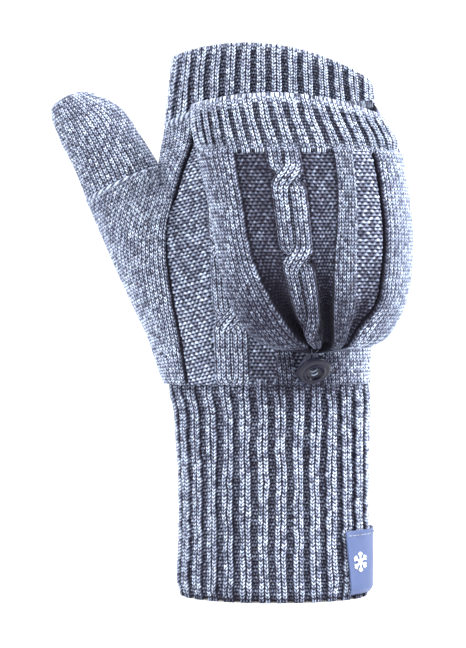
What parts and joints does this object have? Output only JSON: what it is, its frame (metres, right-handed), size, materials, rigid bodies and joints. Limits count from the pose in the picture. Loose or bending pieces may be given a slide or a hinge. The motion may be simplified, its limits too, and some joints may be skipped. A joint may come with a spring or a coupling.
{
  "type": "convertible flip-top mitten",
  "caption": "Right-hand knitted mitten with a ribbed open finger band, a closed thumb, a long ribbed cuff and a flip-over fingertip cap held back by a loop on a button.",
  "frame": {"origin": "centre of the wrist opening, in the plane of the cuff's hem", "axes": "+Z from the wrist towards the fingertips, -Y out of the back of the hand, -X towards the thumb, +X towards the little finger"},
  "size_m": [0.1601, 0.0868, 0.2537],
  "materials": {
    "heather_knit": "matte heather wool blend",
    "heather_rib": "matte heather wool blend, ribbed",
    "seam_yarn": "matte yarn",
    "sewing_thread": "matte twisted thread",
    "elastic_cord": "braided cover",
    "button_plastic": "gloss moulded",
    "label_weave": "satin woven ribbon",
    "label_motif": "white woven thread"
  },
  "bodies": {
    "hand": {"wrist_cuff": "heather_rib", "hand_shell": "heather_knit", "thumb_shell": "heather_knit", "thumb_seam": "seam_yarn", "finger_band": "heather_rib", "band_seam": "seam_yarn", "cap_fold_seam": "seam_yarn", "button_shank": "sewing_thread", "woven_label": "label_weave", "label_motif": "label_motif", "label_stitches": "label_motif"},
    "cap": {"cap_back_panel": "heather_knit", "cap_front_panel": "heather_knit", "cap_rib_hem": "heather_rib", "cap_tip_gather": "seam_yarn", "elastic_loop": "elastic_cord"},
    "button": {"button": "button_plastic", "button_stitches": "sewing_thread"}
  },
  "joints": [
    {"name": "cap_flip", "type": "hinge", "parent": "hand", "child": "cap", "pos_m": [0.005, -0.027, 0.228], "axis": [-1, 0, 0], "range_deg": [0, 180], "deforming": ["cap_rib_hem", "elastic_loop"]},
    {"name": "button_tilt", "type": "hinge", "parent": "hand", "child": "button", "pos_m": [0.017, -0.035, 0.107], "axis": [1, 0, 0], "range_deg": [-10, 10], "stiffness_Nm_per_rad": 0.004}
  ]
}
